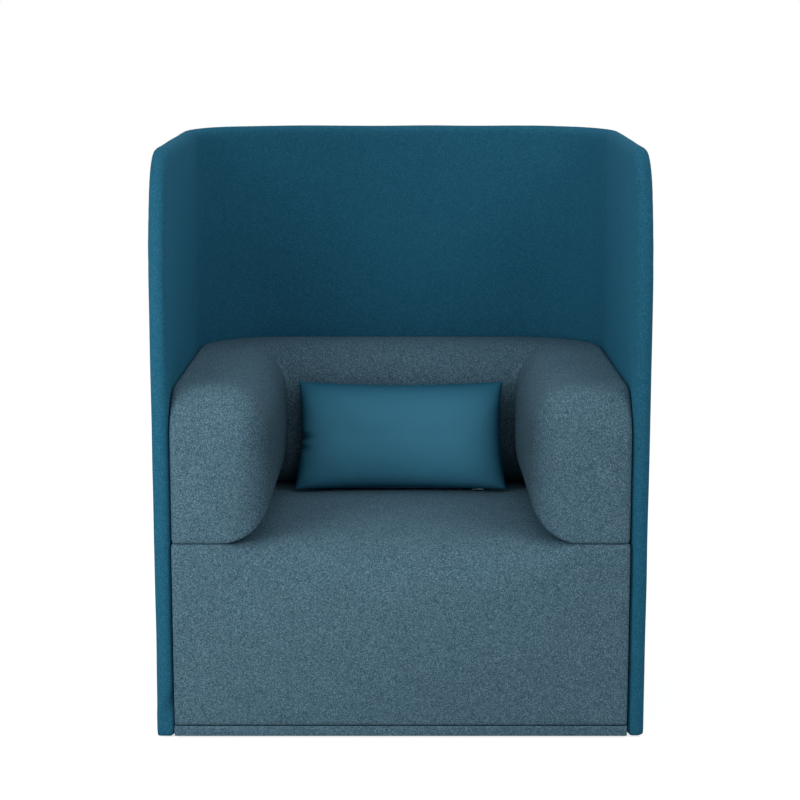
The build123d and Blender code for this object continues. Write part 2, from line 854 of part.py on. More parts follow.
with BuildPart() as arm_upright_right:
    with BuildSketch(Plane.YZ.offset(panel_side - board_thickness)):
        Polygon(*band(shoulder, board_high, arm_top, -upright_drop, board_front, board_back), align=None)
    extrude(amount=board_thickness)
arm_upright_right.part.label = "arm_upright_right"
export_step(arm_upright_right.part, "parts/arm_upright_right.step")

with BuildPart() as arm_upright_left:
    mirror(arm_upright_right.part, about=Plane.YZ)
arm_upright_left.part.label = "arm_upright_left"
export_step(arm_upright_left.part, "parts/arm_upright_left.step")

with BuildPart() as arm_foam_right:
    add(arm_stuffing)
    add(arm_upright_right.part, mode=Mode.SUBTRACT)
    with BuildSketch(Plane.YZ.offset(board_inner)):
        Polygon(*band(shoulder, 0, shoulder, board_high, board_front, board_back), align=None)
    extrude(amount=arm_width, mode=Mode.SUBTRACT)
    add(
        deck_rods(
            flange_pocket, board_top_level - cut_past, flange_pocket_depth + cut_past, arm_bolt_places
        ),
        mode=Mode.SUBTRACT,
    )
arm_foam_right.part.label = "arm_foam_right"
export_step(arm_foam_right.part, "parts/arm_foam_right.step")

with BuildPart() as arm_foam_left:
    mirror(arm_foam_right.part, about=Plane.YZ)
arm_foam_left.part.label = "arm_foam_left"
export_step(arm_foam_left.part, "parts/arm_foam_left.step")

with BuildPart() as arm_cover_right:
    add(arm_outside)
    add(arm_inside, mode=Mode.SUBTRACT)
    add(
        deck_rods(bolt_hole, -cut_past, cover_thickness + 2 * cut_past, arm_bolt_places),
        mode=Mode.SUBTRACT,
    )
arm_cover_right.part.label = "arm_cover_right"
export_step(arm_cover_right.part, "parts/arm_cover_right.step")

with BuildPart() as arm_cover_left:
    mirror(arm_cover_right.part, about=Plane.YZ)
arm_cover_left.part.label = "arm_cover_left"
export_step(arm_cover_left.part, "parts/arm_cover_left.step")

# Back: built like the arms, between the two mitred seams
with BuildPart() as back_board:
    with BuildSketch(Plane.YZ):
        Polygon(
            *band(shoulder, board_low, shoulder, board_high, back_board_front, rear_panel_back),
            align=None,
        )
    extrude(amount=back_board_half, both=True)
    add(
        deck_rods(barrel_hole, board_level - cut_past, board_thickness + 2 * cut_past, back_bolt_places),
        mode=Mode.SUBTRACT,
    )
back_board.part.label = "back_board"
export_step(back_board.part, "parts/back_board.step")

with BuildPart() as back_upright:
    with BuildSketch(Plane.YZ):
        Polygon(
            *band(
                shoulder,
                board_high,
                arm_top,
                -upright_drop,
                rear_panel_back - board_thickness,
                rear_panel_back,
            ),
            align=None,
        )
    extrude(amount=back_board_half, both=True)
back_upright.part.label = "back_upright"
export_step(back_upright.part, "parts/back_upright.step")

with BuildPart() as back_foam:
    add(back_stuffing)
    add(back_upright.part, mode=Mode.SUBTRACT)
    with BuildSketch(Plane.YZ):
        Polygon(*band(shoulder, 0, shoulder, board_high, back_board_front, back), align=None)
    extrude(amount=back_board_half, both=True, mode=Mode.SUBTRACT)
    add(
        deck_rods(
            flange_pocket, board_top_level - cut_past, flange_pocket_depth + cut_past, back_bolt_places
        ),
        mode=Mode.SUBTRACT,
    )
back_foam.part.label = "back_foam"
export_step(back_foam.part, "parts/back_foam.step")

with BuildPart() as back_cover:
    add(back_outside)
    add(back_inside, mode=Mode.SUBTRACT)
    add(
        deck_rods(bolt_hole, -cut_past, cover_thickness + 2 * cut_past, back_bolt_places),
        mode=Mode.SUBTRACT,
    )
back_cover.part.label = "back_cover"
export_step(back_cover.part, "parts/back_cover.step")

# Tee nuts on the arm and back boards, and the bolts that come up through the decks
with BuildPart() as deck_tee_nuts:
    add(deck_rods(tee_nut_flange / 2, board_top_level, tee_nut_flange_thickness, deck_bolt_places))
    add(deck_rods(tee_nut_barrel / 2, board_top_level, tee_nut_short - board_thickness, deck_bolt_places))
    add(
        deck_rods(bolt_diameter / 2 + fit_gap, 0, 2 * board_top_level, deck_bolt_places),
        mode=Mode.SUBTRACT,
    )
deck_tee_nuts.part.label = "deck_tee_nuts"
export_step(deck_tee_nuts.part, "parts/deck_tee_nuts.step")

with BuildPart() as deck_bolts:
    with BuildSketch(raked.offset(deck_under_level)):
        with Locations(*deck_bolt_places):
            RegularPolygon(bolt_head_diameter / 2, 6)
    extrude(amount=-bolt_head_height)
    add(
        deck_rods(
            bolt_diameter / 2, deck_under_level, board_top_level - deck_under_level, deck_bolt_places
        )
    )
deck_bolts.part.label = "deck_bolts"
export_step(deck_bolts.part, "parts/deck_bolts.step")


# Pillow: leans on the back and rests on the seat crown
def pillow_crown(height):
    """Thickness of the pillow at a height along its own face."""
    share = 2 * height / pillow_height - 1
    seam = pillow_edge + pillow_seam_step
    return seam + (pillow_thickness - seam) * (1 - share**2) ** pillow_fullness


lean = radians(pillow_lean)
lean_count = 40
lean_steps = [pillow_height * number / lean_count for number in range(lean_count + 1)]
lean_reach = max(sin(lean) * v + cos(lean) * pillow_crown(v) / 2 for v in lean_steps)
pillow_foot = back_inner - pillow_back_gap - lean_reach
crown_middle = (crown_start + crown_end) / 2
crown_share = 1 - ((pillow_foot - crown_middle) / (crown_end - crown_middle)) ** 2
foot_height = shoulder(pillow_foot) + seat_crown * crown_share
pillow_rest = foot_height + pillow_edge / 2 * sin(lean) + fit_gap
pillow_plane = Plane(
    origin=(0, pillow_foot, pillow_rest),
    x_dir=(1, 0, 0),
    z_dir=(0, sin(lean), cos(lean)),
)


def pillow_section(height, inset):
    """One level of the pillow: flat in the middle, falling in arcs to the side seams."""
    share = 2 * height / pillow_height - 1
    side = pillow_width / 2 - pillow_pull_in * (1 - share**2) - inset
    edge = pillow_edge / 2 - inset
    crown = pillow_crown(height) / 2 - inset
    flat = pillow_flat_share * pillow_width / 2
    with BuildSketch(pillow_plane.offset(height)) as section:
        with BuildLine():
            Line((-flat, -crown), (flat, -crown))
            TangentArc((flat, -crown), (side, -edge), tangent=(1, 0))
            Line((side, -edge), (side, edge))
            TangentArc((flat, crown), (side, edge), tangent=(1, 0))
            Line((flat, crown), (-flat, crown))
            TangentArc((-flat, crown), (-side, edge), tangent=(-1, 0))
            Line((-side, edge), (-side, -edge))
            TangentArc((-flat, -crown), (-side, -edge), tangent=(-1, 0))
        make_face()
    return section.sketch.face()


def pillow_form(inset, low, high):
    """The pillow's crowned form between two heights along its face."""
    shares = (0, 0.07, 0.2, 0.4, 0.6, 0.8, 0.93, 1)
    levels = [low + share * (high - low) for share in shares]
    with BuildPart() as form:
        loft(sections=[pillow_section(level, inset) for level in levels])
    return form.part


zip_slot = zip_width / 2 + fit_gap
chain_level = zip_slider_height + fit_gap
pillow_outside = pillow_form(0, 0, pillow_height)
pillow_inside = pillow_form(
    pillow_cover_thickness, pillow_seam_allowance, pillow_height - pillow_cover_thickness
)
pillow_stuffing = pillow_form(
    pillow_cover_thickness + fit_gap,
    pillow_seam_allowance + fit_gap,
    pillow_height - pillow_cover_thickness - fit_gap,
)

with BuildPart() as pillow_cover:
    add(pillow_outside)
    add(pillow_inside, mode=Mode.SUBTRACT)
    with BuildSketch(pillow_plane.offset(-cut_past)):
        Rectangle(zip_length, 2 * zip_slot)
    extrude(amount=pillow_seam_allowance + 2 * cut_past, mode=Mode.SUBTRACT)
pillow_cover.part.label = "pillow_cover"
export_step(pillow_cover.part, "parts/pillow_cover.step")

with BuildPart() as pillow_filling:
    add(pillow_stuffing)
pillow_filling.part.label = "pillow_filling"
export_step(pillow_filling.part, "parts/pillow_filling.step")

with BuildPart() as zip_chain:
    with BuildSketch(pillow_plane.offset(chain_level)):
        Rectangle(zip_length - 2 * fit_gap, zip_width)
    extrude(amount=zip_chain_height)
zip_chain.part.label = "zip_chain"
export_step(zip_chain.part, "parts/zip_chain.step")

slider_end = zip_length / 2 - zip_slider_stop
with BuildPart() as zip_slider:
    with BuildSketch(pillow_plane.offset(zip_slider_height)):
        with Locations((slider_end, 0)):
            Rectangle(zip_slider_length, zip_width, align=(Align.MAX, Align.CENTER))
    extrude(amount=fit_gap - zip_slider_height)
    with BuildSketch(pillow_plane.offset(fit_gap)):
        with Locations((slider_end - zip_slider_length / 2, 0)):
            Rectangle(zip_pull_length, zip_pull_width, align=(Align.MAX, Align.CENTER))
    extrude(amount=zip_pull_height)
zip_slider.part.label = "zip_slider"
export_step(zip_slider.part, "parts/zip_slider.step")
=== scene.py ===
import math

import bmesh
import bpy
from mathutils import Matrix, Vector, noise
from mathutils.kdtree import KDTree


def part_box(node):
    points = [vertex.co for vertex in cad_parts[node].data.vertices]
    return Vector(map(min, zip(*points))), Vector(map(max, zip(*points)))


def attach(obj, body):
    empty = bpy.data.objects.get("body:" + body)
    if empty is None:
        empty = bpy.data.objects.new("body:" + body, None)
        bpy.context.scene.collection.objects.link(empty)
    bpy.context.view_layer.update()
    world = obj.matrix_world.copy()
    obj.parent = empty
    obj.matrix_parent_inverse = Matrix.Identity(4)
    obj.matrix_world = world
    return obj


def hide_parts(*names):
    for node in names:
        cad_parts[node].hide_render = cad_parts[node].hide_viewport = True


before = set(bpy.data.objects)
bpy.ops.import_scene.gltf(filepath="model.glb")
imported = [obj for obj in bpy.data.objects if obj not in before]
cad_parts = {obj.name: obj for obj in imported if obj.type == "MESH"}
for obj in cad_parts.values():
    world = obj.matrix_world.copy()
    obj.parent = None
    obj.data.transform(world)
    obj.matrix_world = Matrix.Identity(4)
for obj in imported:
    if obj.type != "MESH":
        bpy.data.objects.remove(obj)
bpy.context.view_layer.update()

# Base, decks, boards and the screen's bent core: birch plywood, sawn, bent and sanded, and joined
# with glue and bolts. The covers hide it all, so it shows only where a cover is lifted off.
ply_grain_mm = 5
ply_grain_length_mm = 90


def linear(code):
    """The linear colour of an sRGB hex value."""
    parts = [int(code[place:place + 2], 16) / 255 for place in (1, 3, 5)]
    return (*[p / 12.92 if p <= 0.04045 else ((p + 0.055) / 1.055) ** 2.4 for p in parts], 1)


def node(tree, kind, sockets=None, stops=(), **settings):
    """Adds a shader node with its settings and colour stops, and fills or links its sockets."""
    made = tree.nodes.new("ShaderNode" + kind)
    for name, value in settings.items():
        setattr(made, name, value)
    for number, (place, code) in enumerate(stops):
        ramp = made.color_ramp.elements
        stop = ramp[number] if number < 2 else ramp.new(place)
        stop.position = place
        stop.color = linear(code)
    for name, value in (sockets or {}).items():
        if isinstance(value, bpy.types.NodeSocket):
            tree.links.new(value, made.inputs[name])
        else:
            made.inputs[name].default_value = value
    return made


def new_material(name):
    """A material with an empty node tree."""
    material = bpy.data.materials.new(name)
    material.use_nodes = True
    material.node_tree.nodes.clear()
    return material


def dress(material, *names):
    """Gives CAD nodes a material."""
    for name in names:
        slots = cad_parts[name].data.materials
        slots.clear()
        slots.append(material)


# Sanded birch gives the eye a pale straw tone with a faint long grain and no gloss.
birch_plywood = new_material("birch_plywood_sanded")
tree = birch_plywood.node_tree
place = node(tree, "TexCoord").outputs["Object"]
grain = (1000 / ply_grain_mm, 1000 / ply_grain_length_mm, 1000 / ply_grain_mm)
along = node(tree, "Mapping", {"Vector": place, "Scale": grain})
figure = node(tree, "TexNoise", {"Vector": along.outputs[0], "Scale": 1, "Detail": 4, "Roughness": 0.6})
tint = node(tree, "ValToRGB", {"Fac": figure.outputs[0]}, [(0.35, "#B98F5F"), (0.65, "#D9BC8E")])
pores = node(tree, "Bump", {"Height": figure.outputs[0], "Strength": 0.2, "Distance": 0.0003})
surface = {"Base Color": tint.outputs[0], "Roughness": 0.62, "IOR": 1.5, "Normal": pores.outputs[0]}
shader = node(tree, "BsdfPrincipled", surface)
node(tree, "OutputMaterial", {"Surface": shader.outputs[0]})
dress(birch_plywood, "screen_core", "front_panel", "rear_rail", "rear_panel", "rear_deck")
dress(birch_plywood, "back_board", "back_upright")
for side in ("right", "left"):
    dress(birch_plywood, "side_panel_" + side, "seat_rail_" + side, "arm_deck_" + side)
    dress(birch_plywood, "arm_board_" + side, "arm_upright_" + side)

# Plinth ring, corner blocks and strap battens: planed spruce, glued and screwed. The ring and the
# blocks show from below, round the dust cloth.
ring_width_mm = 4

# Planed spruce gives the eye fine amber year lines on a cream ground.
planed_spruce = new_material("planed_spruce")
tree = planed_spruce.node_tree
place = node(tree, "TexCoord").outputs["Object"]
years = {"Vector": place, "Scale": 1000 / ring_width_mm / math.tau, "Distortion": 3, "Detail": 2}
rings = node(tree, "TexWave", years, bands_direction="Z")
tint = node(tree, "ValToRGB", {"Fac": rings.outputs["Fac"]}, [(0.2, "#DCC399"), (0.95, "#BF9A66")])
shader = node(tree, "BsdfPrincipled", {"Base Color": tint.outputs[0], "Roughness": 0.58, "IOR": 1.5})
node(tree, "OutputMaterial", {"Surface": shader.outputs[0]})
dress(planed_spruce, "plinth_frame", "corner_blocks", "strap_battens")

# Seat straps: woven elastic webbing 60 mm wide, stretched over the battens and stapled.
webbing_rib_mm = 3

# The ribs of the rubber threads give the eye dark stripes with a dull sheen.
elastic_webbing = new_material("elastic_webbing_woven")
tree = elastic_webbing.node_tree
place = node(tree, "TexCoord").outputs["Object"]
ribs = node(tree, "TexWave", {"Vector": place, "Scale": 1000 / webbing_rib_mm / math.tau})
tint = node(tree, "ValToRGB", {"Fac": ribs.outputs["Fac"]}, [(0, "#1F1D1C"), (1, "#3A3734")])
relief = node(tree, "Bump", {"Height": ribs.outputs["Fac"], "Strength": 0.5, "Distance": 0.0004})
surface = {"Base Color": tint.outputs[0], "Roughness": 0.75, "Normal": relief.outputs[0]}
shader = node(tree, "BsdfPrincipled", surface)
node(tree, "OutputMaterial", {"Surface": shader.outputs[0]})
dress(elastic_webbing, "straps_long", "straps_cross")

# Dust cloth: black spunbond fleece stapled under the base, inside the plinth ring.
fleece_fibre_mm = 1.5

# Spunbond fleece gives the eye a matt charcoal with a felted mottle.
spunbond_fleece = new_material("spunbond_fleece")
tree = spunbond_fleece.node_tree
place = node(tree, "TexCoord").outputs["Object"]
felt = node(tree, "TexNoise", {"Vector": place, "Scale": 1000 / fleece_fibre_mm, "Detail": 3})
tint = node(tree, "ValToRGB", {"Fac": felt.outputs[0]}, [(0.3, "#161617"), (0.7, "#2A2A2C")])
relief = node(tree, "Bump", {"Height": felt.outputs[0], "Strength": 0.3, "Distance": 0.0003})
surface = {"Base Color": tint.outputs[0], "Roughness": 0.95, "Normal": relief.outputs[0]}
shader = node(tree, "BsdfPrincipled", surface)
node(tree, "OutputMaterial", {"Surface": shader.outputs[0]})
dress(spunbond_fleece, "bottom_cloth")

# Bolts, washers, tee nuts and glide screws: zinc-plated steel, turned and pressed, and out of sight
# but for the screw heads in the glides.
plating_grain_mm = 0.8

# Bright zinc gives the eye a cool grey metal with a slightly cloudy gloss.
zinc_plated_steel = new_material("zinc_plated_steel")
tree = zinc_plated_steel.node_tree
place = node(tree, "TexCoord").outputs["Object"]
cloud = node(tree, "TexNoise", {"Vector": place, "Scale": 1000 / plating_grain_mm, "Detail": 2})
tint = node(tree, "ValToRGB", {"Fac": cloud.outputs[0]}, [(0.3, "#7E8285"), (0.7, "#989B9E")])
haze = {"Value": cloud.outputs[0], "To Min": 0.34, "To Max": 0.48}
gloss = node(tree, "MapRange", haze)
surface = {"Base Color": tint.outputs[0], "Metallic": 1, "Roughness": gloss.outputs[0]}
shader = node(tree, "BsdfPrincipled", surface)
node(tree, "OutputMaterial", {"Surface": shader.outputs[0]})
dress(zinc_plated_steel, "screen_tee_nuts", "screen_washers", "screen_bolts", "deck_tee_nuts")
dress(zinc_plated_steel, "deck_bolts", "glide_screws")

# Glides: four black nylon discs screwed under the plinth, on which the chair stands.
moulding_grain_mm = 0.6

# Moulded nylon gives the eye a soft dark plastic with a fine spark-eroded grain.
moulded_nylon = new_material("moulded_nylon")
tree = moulded_nylon.node_tree
place = node(tree, "TexCoord").outputs["Object"]
pits = node(tree, "TexNoise", {"Vector": place, "Scale": 1000 / moulding_grain_mm, "Detail": 1})
tint = node(tree, "ValToRGB", {"Fac": pits.outputs[0]}, [(0.3, "#222223"), (0.7, "#303032")])
relief = node(tree, "Bump", {"Height": pits.outputs[0], "Strength": 0.25, "Distance": 0.0001})
surface = {"Base Color": tint.outputs[0], "Roughness": 0.52, "IOR": 1.53, "Normal": relief.outputs[0]}
shader = node(tree, "BsdfPrincipled", surface)
node(tree, "OutputMaterial", {"Surface": shader.outputs[0]})
dress(moulded_nylon, "glides")

# Wrap-around screen: bent plywood in a foam sleeve, covered with felted wool cloth that is drawn
# tight round the rim and turned in at the floor. It is built as a padded panel in a U.
screen_low, screen_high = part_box("screen_cover")
screen_wall = 0.032
screen_corner = 0.200
screen_lean_radius = 0.6
screen_lean_angle = math.radians(21)
screen_top_radius = 0.112
screen_rim = 0.0155
screen_hem = 0.0015
screen_voxel = 0.009
screen_wave = 0.0008
screen_wave_length = 0.12
arc_steps = 14
rim_steps = 6
foot_clear = 0.001
foot_rise = 0.1
cut_past = 0.1
upright_least = 0.01
rear_from = 0.3
sharp_angle = math.radians(50)


def pick(piece):
    """Selects one object alone and makes it the active one."""
    bpy.ops.object.select_all(action="DESELECT")
    piece.select_set(True)
    bpy.context.view_layer.objects.active = piece


def block(name, low, high):
    """A box between two corners, with its place in its mesh."""
    bpy.ops.object.select_all(action="DESELECT")
    middle = [(a + b) / 2 for a, b in zip(low, high)]
    size = [b - a for a, b in zip(low, high)]
    bpy.ops.mesh.primitive_cube_add(size=1, location=middle, scale=size)
    piece = bpy.context.object
    piece.name = name
    bpy.ops.object.transform_apply(location=True, rotation=True, scale=True)
    return piece


def round_edges(piece, chosen, radius, segments):
    """Rounds the edges that a test picks out."""
    pick(piece)
    bpy.ops.object.mode_set(mode="EDIT")
    bpy.ops.mesh.select_mode(type="EDGE")
    bpy.ops.mesh.select_all(action="DESELECT")
    shape = bmesh.from_edit_mesh(piece.data)
    for edge in shape.edges:
        edge.select_set(chosen(edge))
    bmesh.update_edit_mesh(piece.data)
    bpy.ops.mesh.bevel(offset=radius, segments=segments, affect="EDGES", clamp_overlap=False)
    bpy.ops.object.mode_set(mode="OBJECT")


def rear_upright(edge):
    """True for an edge that stands at the rear of a box."""
    a, b = (vert.co for vert in edge.verts)
    return abs(a.z - b.z) > upright_least and min(a.y, b.y) > rear_from


def sharp(edge):
    """True for an edge at which two faces meet at a clear angle."""
    return len(edge.link_faces) == 2 and edge.calc_face_angle() > sharp_angle


def prism(name, outline, near, far):
    """A solid between two planes across X, with its side outline given as (y, z) points."""
    mesh = bpy.data.meshes.new(name)
    mesh.from_pydata([(near, y, z) for y, z in outline], [], [range(len(outline))])
    piece = bpy.data.objects.new(name, mesh)
    bpy.context.scene.collection.objects.link(piece)
    pick(piece)
    bpy.ops.object.mode_set(mode="EDIT")
    bpy.ops.mesh.select_all(action="SELECT")
    bpy.ops.mesh.extrude_region_move(TRANSFORM_OT_translate={"value": (far - near, 0, 0)})
    bpy.ops.mesh.select_all(action="SELECT")
    bpy.ops.mesh.normals_make_consistent(inside=False)
    bpy.ops.object.mode_set(mode="OBJECT")
    return piece


def apply_modifier(piece, kind, **settings):
    """Adds a modifier with its settings and applies it."""
    pick(piece)
    made = piece.modifiers.new(kind.lower(), kind)
    for name, value in settings.items():
        setattr(made, name, value)
    bpy.ops.object.modifier_apply(modifier=made.name)


def combine(piece, tool, operation):
    """Cuts a piece by a tool, or keeps what they share, and removes the tool."""
    apply_modifier(piece, "BOOLEAN", object=tool, operation=operation, solver="EXACT")
    bpy.data.objects.remove(tool)


def remesh(piece, voxel):
    """Gives a closed piece even faces of about the voxel's size."""
    pick(piece)
    piece.data.remesh_voxel_size = voxel
    piece.data.remesh_voxel_adaptivity = 0
    bpy.ops.object.voxel_remesh()


turn = math.sin(screen_lean_angle)
lean_start = screen_high.z - screen_lean_radius * turn - screen_top_radius * (1 - turn)
hem_level = screen_low.z - screen_hem
side_outline = [(screen_high.y + cut_past, hem_level), (screen_low.y, hem_level)]
for step in range(arc_steps + 1):
    angle = screen_lean_angle * step / arc_steps
    y = screen_low.y + screen_lean_radius * (1 - math.cos(angle))
    side_outline.append((y, lean_start + screen_lean_radius * math.sin(angle)))
lean_end_y = side_outline[-1][0]
round_y = lean_end_y + screen_top_radius * math.cos(screen_lean_angle)
for step in range(1, arc_steps + 1):
    angle = screen_lean_angle + (math.pi / 2 - screen_lean_angle) * step / arc_steps
    z = screen_high.z - screen_top_radius * (1 - math.sin(angle))
    side_outline.append((round_y - screen_top_radius * math.cos(angle), z))
side_outline.append((screen_high.y + cut_past, screen_high.z))

screen_panel = block("screen_panel", screen_low - Vector((0, 0, screen_hem)), screen_high)
round_edges(screen_panel, rear_upright, screen_corner, 2 * arc_steps)
bay_low = (screen_low.x + screen_wall, screen_low.y - cut_past, screen_low.z - cut_past)
bay_high = (screen_high.x - screen_wall, screen_high.y - screen_wall, screen_high.z + cut_past)
bay = block("bay", bay_low, bay_high)
round_edges(bay, rear_upright, screen_corner - screen_wall, 2 * arc_steps)
combine(screen_panel, bay, "DIFFERENCE")
side_shape = prism("side_shape", side_outline, screen_low.x - cut_past, screen_high.x + cut_past)
combine(screen_panel, side_shape, "INTERSECT")


def screen_rim_edge(edge):
    """True for the sharp edges of the screen that lie clear of its foot or reach well above it."""
    heights = [vert.co.z for vert in edge.verts]
    clear = min(heights) > screen_low.z + foot_clear - screen_hem
    return sharp(edge) and (clear or max(heights) > screen_low.z + foot_rise)


round_edges(screen_panel, screen_rim_edge, screen_rim, rim_steps)
remesh(screen_panel, screen_voxel)
apply_modifier(screen_panel, "SMOOTH", factor=0.5, iterations=4)
waves = []
for point in screen_panel.data.vertices:
    waves.append(point.normal * noise.noise(point.co / screen_wave_length))
for point, wave in zip(screen_panel.data.vertices, waves):
    point.co = point.co + wave * screen_wave
pick(screen_panel)
bpy.ops.object.shade_smooth()

# Felted wool gives the eye a deep matt petrol: fine pale flecks, a faint mottle and a soft nap at
# grazing angles. The flecks are drawn about twice as coarse as they are, so that they show.
felt_fleck_mm = 1.3
felt_fibre_mm = 1.6
felt_mottle_mm = 45
felted_wool = new_material("felted_wool_petrol")
tree = felted_wool.node_tree
place = node(tree, "TexCoord").outputs["Object"]
fleck = (felt_fleck_mm / 1000,) * 3
tuft = node(tree, "VectorMath", {0: place, 1: fleck}, operation="SNAP")
dye = node(tree, "TexWhiteNoise", {"Vector": tuft.outputs[0]}, noise_dimensions="3D")
flecks = [(0, "#1E5B76"), (0.6, "#256580"), (1, "#387792")]
tint = node(tree, "ValToRGB", {"Fac": dye.outputs[0]}, flecks)
fibre = node(tree, "TexNoise", {"Vector": place, "Scale": 1000 / felt_fibre_mm, "Detail": 3})
mottle = node(tree, "TexNoise", {"Vector": place, "Scale": 1000 / felt_mottle_mm, "Detail": 2})
shade = node(tree, "MapRange", {"Value": mottle.outputs[0], "To Min": 0.95, "To Max": 1.05})
worn = node(tree, "VectorMath", {0: tint.outputs[0], "Scale": shade.outputs[0]}, operation="SCALE")
relief = node(tree, "Bump", {"Height": fibre.outputs[0], "Strength": 0.25, "Distance": 0.0005})
surface = {"Base Color": worn.outputs[0], "Roughness": 0.95, "Specular IOR Level": 0.04}
surface |= {"Sheen Weight": 0.22, "Sheen Roughness": 0.8, "Sheen Tint": linear("#3F88A6")}
surface |= {"Normal": relief.outputs[0]}
shader = node(tree, "BsdfPrincipled", surface)
node(tree, "OutputMaterial", {"Surface": shader.outputs[0]})
screen_panel.data.materials.append(felted_wool)
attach(screen_panel, "chair")
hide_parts("screen_cover", "screen_pad")

# Plinth strip: the seat's melange cloth glued round the timber ring under the seat, with its edges
# turned in above and below, so that a dark seam line shows between it and the seat.
strip_low, strip_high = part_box("plinth_band")
strip_hem = 0.014
strip_under = 0.0004
strip_corner = 0.1677
strip_corner_steps = 16
strip_edge = 0.002
strip_edge_angle = math.radians(60)
strip_smooth_angle = math.radians(35)
level_least = 0.9

plinth_strip = block("plinth_strip", strip_low - Vector((0, 0, strip_under)), strip_high)
round_edges(plinth_strip, rear_upright, strip_corner, strip_corner_steps)
pick(plinth_strip)
bpy.ops.object.mode_set(mode="EDIT")
bpy.ops.mesh.select_mode(type="FACE")
bpy.ops.mesh.select_all(action="DESELECT")
shape = bmesh.from_edit_mesh(plinth_strip.data)
for face in shape.faces:
    face.select_set(abs(face.normal.z) > level_least)
bmesh.update_edit_mesh(plinth_strip.data)
bpy.ops.mesh.delete(type="FACE")
bpy.ops.object.mode_set(mode="OBJECT")
apply_modifier(plinth_strip, "SOLIDIFY", thickness=strip_hem, offset=-1)
apply_modifier(plinth_strip, "BEVEL", width=strip_edge, segments=3, angle_limit=strip_edge_angle)
pick(plinth_strip)
bpy.ops.object.shade_smooth_by_angle(angle=strip_smooth_angle)

# Melange cloth gives the eye a grey-blue flecked with pale and dark yarns, rough and matt. The yarn
# crossings are drawn about twice as wide as they are, so that they show. Where a piece carries a
# painted-shade mark, the colour is darkened as painted shade, for faces that are turned from the light.
yarn_mm = 1.3
slub_mm = 3.5
melange_cloud_mm = 60
painted_shade_tone = 0.55
melange_cloth = new_material("melange_cloth_woven")
tree = melange_cloth.node_tree
place = node(tree, "TexCoord").outputs["Object"]
yarn = (yarn_mm / 1000,) * 3
crossing = node(tree, "VectorMath", {0: place, 1: yarn}, operation="SNAP")
dye = node(tree, "TexWhiteNoise", {"Vector": crossing.outputs[0]}, noise_dimensions="3D")
yarns = [(0, "#345160"), (0.3, "#4B6A7A"), (0.7, "#58798A"), (1, "#7E9DAD")]
tint = node(tree, "ValToRGB", {"Fac": dye.outputs[0]}, yarns)
cloud = node(tree, "TexNoise", {"Vector": place, "Scale": 1000 / melange_cloud_mm, "Detail": 3})
slub = node(tree, "TexNoise", {"Vector": place, "Scale": 1000 / slub_mm, "Detail": 1})
patch = node(tree, "Math", {0: cloud.outputs[0], 1: slub.outputs[0]}, operation="ADD")
shade = node(tree, "MapRange", {"Value": patch.outputs[0], "From Max": 2, "To Min": 0.82, "To Max": 1.18})
# Painted shade: the marked points darken the cloth, down to the tone given above where most marked.
painted_shade_mark = node(tree, "Attribute", attribute_name="painted_shade")
painted_shade_darkening = node(tree, "MapRange", {"Value": painted_shade_mark.outputs["Fac"], "To Min": 1, "To Max": painted_shade_tone})
tone = node(tree, "Math", {0: shade.outputs[0], 1: painted_shade_darkening.outputs[0]}, operation="MULTIPLY")
mixed = node(tree, "VectorMath", {0: tint.outputs[0], "Scale": tone.outputs[0]}, operation="SCALE")
nubs = {"Vector": place, "Scale": 1000 / yarn_mm, "Randomness": 0.35}
weave = node(tree, "TexVoronoi", nubs)
raised = {"Height": weave.outputs["Distance"], "Strength": 0.35, "Distance": 0.0006}
relief = node(tree, "Bump", raised, invert=True)
surface = {"Base Color": mixed.outputs[0], "Roughness": 0.95, "Specular IOR Level": 0.05}
surface |= {"Sheen Weight": 0.06, "Sheen Roughness": 0.5, "Sheen Tint": linear("#7FA6B8")}
surface |= {"Normal": relief.outputs[0]}
shader = node(tree, "BsdfPrincipled", surface)
node(tree, "OutputMaterial", {"Surface": shader.outputs[0]})
plinth_strip.data.materials.append(melange_cloth)
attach(plinth_strip, "chair")
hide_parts("plinth_band")

# Seat block: foam over straps, in one cover of melange cloth from the plinth seam over the rolled
# front edge to the back. It is soft between the arms and firm under them.
seat_low, seat_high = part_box("seat_cover")
seat_front_height = 0.368
seat_rake = math.tan(math.radians(3))
seat_zone = 0.3217
seat_roll = 0.11
seat_roll_power = 4
seat_edge = 0.004
seat_crown = 0.012
crown_front = -0.305
crown_back = 0.2657
seat_seam_gap = 0.0006
seat_voxel = 0.006
seat_side_hold = 0.006
seat_hem_hold = 0.008
seat_tuck_from = 0.06
seat_arm_from = 0.27
seat_arm_hold = 0.012
swell_frames = 20
swell_stiffness = 30
swell_bending = 5
carry_points = 6
carry_least = 0.002


def seat_top(x, y):
    """Height of the seat's top, crowned between the arms."""
    share = min(abs(x) / seat_zone, 1)
    middle = (crown_front + crown_back) / 2
    run = min(abs(y - middle) / (crown_back - middle), 1)
    crown = seat_crown * (1 - share**2) * (1 - run**2)
    return seat_front_height - seat_rake * (y - seat_low.y) + crown


